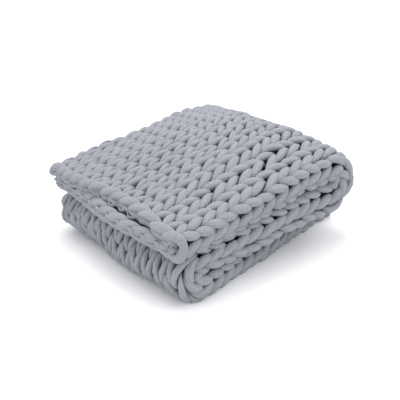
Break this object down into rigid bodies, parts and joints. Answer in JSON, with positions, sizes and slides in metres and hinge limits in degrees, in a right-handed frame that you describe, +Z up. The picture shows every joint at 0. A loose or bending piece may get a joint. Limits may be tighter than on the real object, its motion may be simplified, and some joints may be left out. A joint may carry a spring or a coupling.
{
  "type": "weighted blanket",
  "caption": "Chunky hand-knitted weighted blanket in thick tube yarn, doubled lengthwise and folded back and forth into a square pile.",
  "frame": {"origin": "middle of the pile's footprint, on the surface it lies on", "axes": "+Z up, the pile's height. +Y across the pile, away from the lengthwise fold. +X along the knitted columns, towards the fold that joins the upper and middle thirds."},
  "size_m": [0.7785, 0.7561, 0.3247],
  "materials": {
    "tube_yarn_knit": "matt"
  },
  "bodies": {
    "root": {"knitted_blanket": "tube_yarn_knit"}
  },
  "joints": []
}
